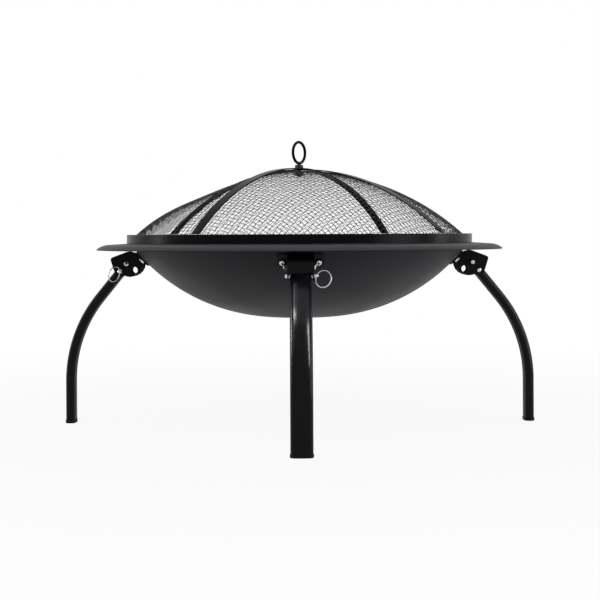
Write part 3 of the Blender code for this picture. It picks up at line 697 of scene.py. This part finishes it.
def leg_line():
    """The tube's centreline in the side view, with the outward normal at each point."""
    rise = LEG_BEND_R * (1 - cos(LEG_SLOPE))
    straight = (FOOT_R - PIVOT.x - rise) / sin(LEG_SLOPE)
    centre = PIVOT + straight * LEG_DOWN - LEG_BEND_R * LEG_OUT
    line = [(PIVOT - LEG_TOP * LEG_DOWN, LEG_OUT)]
    for point in arc(centre, LEG_BEND_R, LEG_SLOPE, 0.0, LEG_BEND_STEPS):
        line.append((point, (point - centre).normalized()))
    return line + [(Vector((line[-1][0].x, TUBE_END_Z)), Vector((1.0, 0.0)))]


def cutter(name, rings, finish):
    """A closed shape that only cuts, and gives the cut's faces a finish."""
    bm = bmesh.new()
    skin(bm, rings)
    bmesh.ops.recalc_face_normals(bm, faces=bm.faces)
    mesh = bpy.data.meshes.new(name)
    bm.to_mesh(mesh)
    bm.free()
    mesh.materials.append(finish.material)
    made = bpy.data.objects.new(name, mesh)
    bpy.context.scene.collection.objects.link(made)
    return made


def cut(target, cutters):
    """Cuts the shapes out of target for good, and removes them."""
    for shape in cutters:
        modifier = target.modifiers.new("cut", "BOOLEAN")
        modifier.operation = "DIFFERENCE"
        modifier.solver = "EXACT"
        modifier.material_mode = "TRANSFER"
        modifier.object = shape
    bpy.context.view_layer.update()
    graph = bpy.context.evaluated_depsgraph_get()
    mesh = bpy.data.meshes.new_from_object(target.evaluated_get(graph))
    target.modifiers.clear()
    target.data = mesh
    for shape in cutters:
        bpy.data.objects.remove(shape)
    mesh.shade_smooth()
    mesh.set_sharp_from_angle(angle=SHARP)
    return target


def make_leg_mesh():
    outer, bore = tube_section(), tube_section(LEG_WALL)
    line = leg_line()
    rings = [[side_point(c + p.y * n, p.x) for p in outer] for c, n in line]
    rings += [[side_point(c + p.y * n, p.x) for p in bore] for c, n in line[::-1]]
    bm = bmesh.new()
    skin(bm, rings, closed=True)
    tube = piece("leg_tube", bm, leg_enamel)
    hole = [side_point(PIVOT + p) for p in circle(PIVOT_HOLE_R, HOLE_SIDES)]
    down = LEG_SLOPE - pi / 2
    lock = PIVOT + PIN_REACH * LEG_DOWN
    slot = arc(PIVOT, PIN_REACH - SLOT_HALF, down, down + SLOT_SWEEP, SLOT_STEPS)
    slot += arc(PIVOT, PIN_REACH + SLOT_HALF, down + SLOT_SWEEP, down, SLOT_STEPS)
    slot += arc(lock, SLOT_HALF, down, down - pi, SLOT_END_STEPS)[1:-1]
    across = (Vector((-LEG_WIDTH, 0.0, 0.0)), Vector((LEG_WIDTH, 0.0, 0.0)))
    hole_cutter = cutter("hole", [[p + x for p in hole] for x in across], leg_enamel)
    slot_cutter = cutter("slot", [[side_point(p) + x for p in slot] for x in across], leg_enamel)
    return cut(tube, [hole_cutter, slot_cutter])


def four(original, name, node, body):
    """Copies a piece made for the front leg to all four legs, in place of their CAD nodes."""
    made = []
    for index in range(LEG_COUNT):
        copy = bpy.data.objects.new(f"{name}_{index + 1}", original.data)
        copy.matrix_world = leg_turn(index) @ original.matrix_world
        bpy.context.scene.collection.objects.link(copy)
        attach(copy, body.format(index + 1))
        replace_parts(copy, node.format(index + 1))
        made.append(copy)
    bpy.data.objects.remove(original)
    return made


legs = four(make_leg_mesh(), "leg_skin", "leg_{}", "leg_set_{}")
print("leg", len(legs[0].data.polygons), "faces")

# %% [markdown]
# A plastic plug closes each foot. It has a soft lower edge, so that it doesn't mark a deck.

# %% Foot caps
CAP_PROUD = 0.0007
CAP_HEIGHT = 0.004
CAP_EDGE_RISE = 1.3
CAP_EDGE_STEPS = 6


def make_foot_cap():
    levels = []
    for i in range(CAP_EDGE_STEPS + 1):
        a = pi / 2 * i / CAP_EDGE_STEPS
        levels.append((tube_section(-CAP_PROUD * sin(a)), CAP_EDGE_RISE * CAP_PROUD * (1 - cos(a))))
    levels.append((levels[-1][0], CAP_HEIGHT))
    plug = tube_section(LEG_WALL + PIECE_GAP)
    levels += [(plug, CAP_HEIGHT), (plug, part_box("foot_cap_1")[1].z)]
    bm = bmesh.new()
    skin(bm, [[Vector((p.x, p.y - FOOT_R, z)) for p in ring] for ring, z in levels])
    return piece("foot_cap", bm, plastic)


four(make_foot_cap(), "foot_cap_skin", "foot_cap_{}", "leg_set_{}")

# %% [markdown]
# A ring of thin wire hangs in the end of each lock pin. Each ring came to rest at its own angle, so the
# ring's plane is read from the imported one: its centre, and the direction in which it is thinnest.

# %% Pull rings
RING_WIRE_R = 0.00075
RING_STEPS = 64
RING_SIDES = 12


def make_pull_ring(index):
    name = f"pull_ring_{index + 1}"
    points = np.array([v.co for v in nodes[name].data.vertices])
    centre = np.unique(points.round(6), axis=0).mean(axis=0)
    spread = np.linalg.svd(points - centre, full_matrices=False)
    normal = Vector(spread[2][2])
    radius = float(np.linalg.norm(points - centre, axis=1).max()) - RING_WIRE_R
    side = normal.orthogonal().normalized()
    other = normal.cross(side)
    bm = bmesh.new()
    rings = []
    for i in range(RING_STEPS):
        a = 2 * pi * i / RING_STEPS
        out = cos(a) * side + sin(a) * other
        section = circle(RING_WIRE_R, RING_SIDES)
        rings.append([Vector(centre) + (radius + p.x) * out + p.y * normal for p in section])
    skin(bm, rings, closed=True)
    ring = piece(name + "_skin", bm, zinc, f"ring_set_{index + 1}")
    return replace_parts(ring, name)


for index in range(LEG_COUNT):
    make_pull_ring(index)

# %% [markdown]
# Pan head screws hold the brackets and the legs. A pan head is pressed, so its dome runs softly into its
# side, and it has a cross recess for a screwdriver. The head and shank are turned from one profile, and
# two tapered slots are cut, each named by its bottom and its top: half the length in head radii, half the
# width in recess widths, and the height in head heights. Their faces get the dark blackened finish as
# painted shade, for the shade that falls in the deep recess.

# %% Screws
BRACKET_SHEET = 0.002
BRACKET_WIDTH = 0.033
TAB_DROP = 0.020
SCREW_SPREAD = 0.0438
RECESS_WIDTH = 0.0015
RECESS_LEVELS = ((0.3, 0.3, 0.1), (0.68, 0.5, 1.1))
SCREW_POLE_R = 0.0002
SCREW_EDGE = 0.3
DOME_POWER = 0.8
DOME_STEPS = 12
SCREW_SIDES = 32
BRACKET_SCREW = {"length": 0.0093, "radius": 0.0022, "head_r": 0.0043, "head_height": 0.0028}
PIVOT_SCREW = {"radius": 0.0025, "head_r": 0.0035, "head_height": 0.0022}


def make_screw(name, frame, length, radius, head_r, head_height):
    """A screw along the frame's z axis, with the head's seat at its origin."""
    edge = SCREW_EDGE * head_height
    dome = [Vector((SCREW_POLE_R, head_height))]
    for i in range(1, DOME_STEPS + 1):
        a = pi / 2 * i / DOME_STEPS
        dome.append(Vector((head_r * sin(a), edge + (head_height - edge) * cos(a) ** DOME_POWER)))
    shank = [(head_r, 0.0), (radius, 0.0), (radius, -length), (SCREW_POLE_R, -length)]
    bm = bmesh.new()
    turn(bm, dome + [Vector(point) for point in shank], SCREW_SIDES)
    close_poles(bm, (head_height, -length), SCREW_POLE_R)
    screw = piece(name, bm, zinc)
    slots = []
    for quarter in (Matrix.Identity(3), Matrix.Rotation(pi / 2, 3, "Z")):
        rings = []
        for half, wide, z in RECESS_LEVELS:
            x, y = half * head_r, wide * RECESS_WIDTH
            corners = ((x, y), (-x, y), (-x, -y), (x, -y))
            rings.append([quarter @ Vector((*corner, z * head_height)) for corner in corners])
        # The recess faces take the dark finish: painted shade in the recess.
        slots.append(cutter("recess", rings, blackened_and_recess_shade))
    cut(screw, slots)
    screw.data.transform(frame)
    return screw


def bracket_screw_frame(side):
    """Where a bracket's screw leaves the bowl, with z along the screw, outwards."""
    height = MOUTH_UNDER_Z - TAB_DROP
    centre = Vector((BOWL_FLAT_R, BOWL_BOTTOM_Z + BOWL_ARC_R))
    point = Vector((centre.x + sqrt(BOWL_ARC_R**2 - (centre.y - height) ** 2), height))
    normal = (point - centre).normalized()
    tilt = Matrix.Translation(side_point(point)) @ Matrix.Rotation(atan2(normal.x, normal.y), 4, "X")
    return Matrix.Rotation(side * asin(SCREW_SPREAD / 2 / point.x), 4, "Z") @ tilt


seat = Matrix.Translation((0.0, 0.0, BRACKET_SHEET + 2 * PIECE_GAP))
for side, first in ((-1, 1), (1, 2)):
    screw = make_screw("bracket_screw", bracket_screw_frame(side) @ seat, **BRACKET_SCREW)
    for index in range(LEG_COUNT):
        copy = bpy.data.objects.new(f"bracket_screw_skin_{2 * index + first}", screw.data)
        copy.matrix_world = leg_turn(index)
        bpy.context.scene.collection.objects.link(copy)
        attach(copy, "base")
        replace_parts(copy, f"bracket_screw_{2 * index + first}")
    bpy.data.objects.remove(screw)

across = Matrix.Rotation(pi / 2, 4, "Y")
outside = BRACKET_WIDTH / 2 + PIECE_GAP
pivot_frame = Matrix.Translation(side_point(PIVOT, outside)) @ across
pivot_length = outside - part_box("pivot_screw_1")[0].x
pivot_screw = make_screw("pivot_screw", pivot_frame, pivot_length, **PIVOT_SCREW)
screws = four(pivot_screw, "pivot_screw_skin", "pivot_screw_{}", "base")
for made in [o for o in bpy.context.scene.objects if "screw_skin" in o.name]:
    low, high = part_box(made.name.replace("_skin", ""))
    points = [made.matrix_world @ v.co for v in made.data.vertices]
    middle = [(min(p[i] for p in points) + max(p[i] for p in points)) / 2 for i in range(3)]
    off = (Vector(middle) - (Vector(low) + Vector(high)) / 2).length
    print(made.name, "is", round(off * 1000, 2), "mm from its packed screw")

# %% [markdown]
# The rest of the frame already has the right shape: brackets, nuts, the washer and pins. They only need
# their finishes. The brackets are a black close to the lid's, but their flanges were sprayed together
# with the bowl and have nearly its colour. How far a point is from the bowl's arc tells the two apart, so
# one finish does both.

# %% Bracket finish
bracket_paint = Finish("bracket_paint", (0.003, 0.0027, 0.0042), 0.42, specular=0.08)
parts = bracket_paint.add("ShaderNodeSeparateXYZ", {}, {0: bracket_paint.place()})
x, y, z = [Wire(bracket_paint, output) for output in parts.socket.node.outputs]
out = (x * x + y * y).root() - BOWL_FLAT_R
up = z - (BOWL_BOTTOM_Z + BOWL_ARC_R)
from_bowl = (out * out + up * up).root() - BOWL_ARC_R
hood = bracket_paint.band(from_bowl, BRACKET_SHEET + PIECE_GAP, BRACKET_SHEET + 4 * PIECE_GAP)
fog = bracket_paint.noise(90.0, 4.0, 0.6)
flange_colour = bracket_paint.mix(fog, (0.012, 0.0102, 0.0128), (0.0175, 0.015, 0.018))
hood_colour = bracket_paint.mix(fog, (0.003, 0.0027, 0.004), (0.006, 0.0054, 0.007))
bracket_paint.feed("Base Color", bracket_paint.mix(hood, flange_colour, hood_colour))
bracket_paint.feed("Roughness", (0.4 + fog * 0.16).held())
bracket_paint.bump(bracket_paint.noise(900.0, 2.0), 0.00005, 0.5)

# %% Finishes for the nodes that stay
FINISHES = {
    "bracket_nut": zinc,
    "bracket": bracket_paint,
    "pivot_nut": blackened_and_recess_shade,
    "lock_pin": zinc,
    "lid_upper_nut": blackened_and_recess_shade,
    "lid_washer": blackened_and_recess_shade,
    "lid_lower_nut": blackened_and_recess_shade,
}
for name, node in nodes.items():
    for start, finish in FINISHES.items():
        if name.startswith(start):
            node.data.materials.clear()
            node.data.materials.append(finish.material)
            break

# %% [markdown]
# The product stands on a pale floor in an even white studio. To the eye, and in what metal mirrors, most
# of the floor's brightness doesn't depend on the lamps, and far away all of it, so it ends in the white
# behind it without a line. The rest is plain paint, which takes the object's soft shadow and throws some
# light back up under the bowl.

# %% Floor
FLOOR_R = 9.0
FLOOR_GLOW = 0.93
FADE_FROM = 0.45
FADE_TO = 1.3

floor_paint = Finish("floor_paint", (0.33, 0.33, 0.33), 0.9, specular=0.1)
glow = floor_paint.add("ShaderNodeEmission", {}, {"Color": (1.0, 1.0, 1.0, 1.0), "Strength": 1.0})
seen = floor_paint.add("ShaderNodeLightPath", output="Is Camera Ray")
mirrored = floor_paint.add("ShaderNodeLightPath", output="Is Glossy Ray")
through = floor_paint.add("ShaderNodeLightPath", output="Is Transmission Ray")
shown_to = (seen + mirrored + through).held()
far = floor_paint.band(floor_paint.length(floor_paint.place()), FADE_FROM, FADE_TO)
surface = Wire(floor_paint, floor_paint.shader.outputs[0])
glowing = shown_to * (FLOOR_GLOW + far * (1 - FLOOR_GLOW))
shown = floor_paint.add("ShaderNodeMixShader", {}, {0: glowing, 1: surface, 2: glow})
floor_output = floor_paint.tree.nodes["Material Output"]
floor_paint.join(floor_output.inputs["Surface"], shown)

bm = bmesh.new()
bmesh.ops.create_circle(bm, cap_ends=True, radius=FLOOR_R, segments=96)
floor = piece("floor", bm, floor_paint)
print("floor", round(floor.dimensions.x), "m across")

# %% [markdown]
# The light is a white room with soft lamps. The one overhead is slightly blue and shows in the upper part
# of the gloss legs. One high on the left and one low on the right light the front, and a tall narrow one
# at each side lights the edges. Three more are flagged, as a photographer would do, so that they reach
# the legs alone: they draw the spark, the streak and the fine edge line on the front leg's enamel, and
# light no matt paint. The last of them is for the front leg alone.

# %% Lamps
AIM_HEIGHT = 0.2


def soft_lamp(name, place, size, power, colour=(1.0, 1.0, 1.0)):
    """A rectangular lamp that faces the bowl."""
    data = bpy.data.lights.new(name, "AREA")
    data.shape = "RECTANGLE"
    data.size, data.size_y = size
    data.energy = power
    data.color = colour
    lamp = bpy.data.objects.new(name, data)
    lamp.location = place
    aim = Vector((0.0, 0.0, AIM_HEIGHT)) - Vector(place)
    lamp.rotation_euler = aim.to_track_quat("-Z", "Y").to_euler()
    bpy.context.scene.collection.objects.link(lamp)
    return lamp


soft_lamp("overhead", (0.0, -0.5, 2.6), (2.4, 2.4), 26.0, (0.8, 0.9, 1.0))
soft_lamp("key", (-1.6, -1.5, 2.0), (1.2, 1.2), 18.0)
soft_lamp("fill", (2.0, -1.0, 0.6), (1.0, 1.2), 20.0)
soft_lamp("left_edge", (-2.2, 0.4, 0.7), (0.25, 1.6), 12.0)
soft_lamp("right_edge", (2.2, 0.4, 0.7), (0.25, 1.6), 12.0)
legs_only, front_leg_only = [bpy.data.collections.new(name) for name in ("legs_only", "front_leg_only")]
for leg in legs:
    legs_only.objects.link(leg)
front_leg_only.objects.link(legs[0])
spark = soft_lamp("leg_spark", (-0.95, -1.3, 2.62), (0.5, 0.36), 55.0, (1.0, 0.95, 0.9))
streak = soft_lamp("leg_streak", (0.95, -1.55, 1.36), (0.36, 1.15), 85.0, (0.95, 0.95, 1.0))
edge_line = soft_lamp("leg_edge_line", (-1.66, 0.0, 0.75), (0.3, 0.4), 30.0)
for lamp, lit in ((spark, legs_only), (streak, legs_only), (edge_line, front_leg_only)):
    lamp.light_linking.receiver_collection = lit
    lamp.visible_diffuse = False

# %% [markdown]
# The room is the world's own colour. It lights the object at half strength, and it is plain white to the
# eye and in mirrored or clear things, so that they show the same background as the picture.

# %% World
ROOM_LIGHT = 0.5

world = bpy.data.worlds.new("studio")
bpy.context.scene.world = world
world.use_nodes = True
sky = world.node_tree.nodes["Background"]
sky.inputs["Color"].default_value = (1.0, 1.0, 1.0, 1.0)
path = world.node_tree.nodes.new("ShaderNodeLightPath")
strength = path.outputs["Is Camera Ray"]
for ray in ("Is Glossy Ray", "Is Transmission Ray"):
    either = world.node_tree.nodes.new("ShaderNodeMath")
    either.operation = "MAXIMUM"
    world.node_tree.links.new(strength, either.inputs[0])
    world.node_tree.links.new(path.outputs[ray], either.inputs[1])
    strength = either.outputs[0]
room = world.node_tree.nodes.new("ShaderNodeMapRange")
room.inputs["To Min"].default_value = ROOM_LIGHT
room.inputs["To Max"].default_value = 1.0
world.node_tree.links.new(strength, room.inputs["Value"])
world.node_tree.links.new(room.outputs[0], sky.inputs["Strength"])

bpy.context.scene.view_settings.view_transform = "Standard"
print("view", bpy.context.scene.view_settings.view_transform)
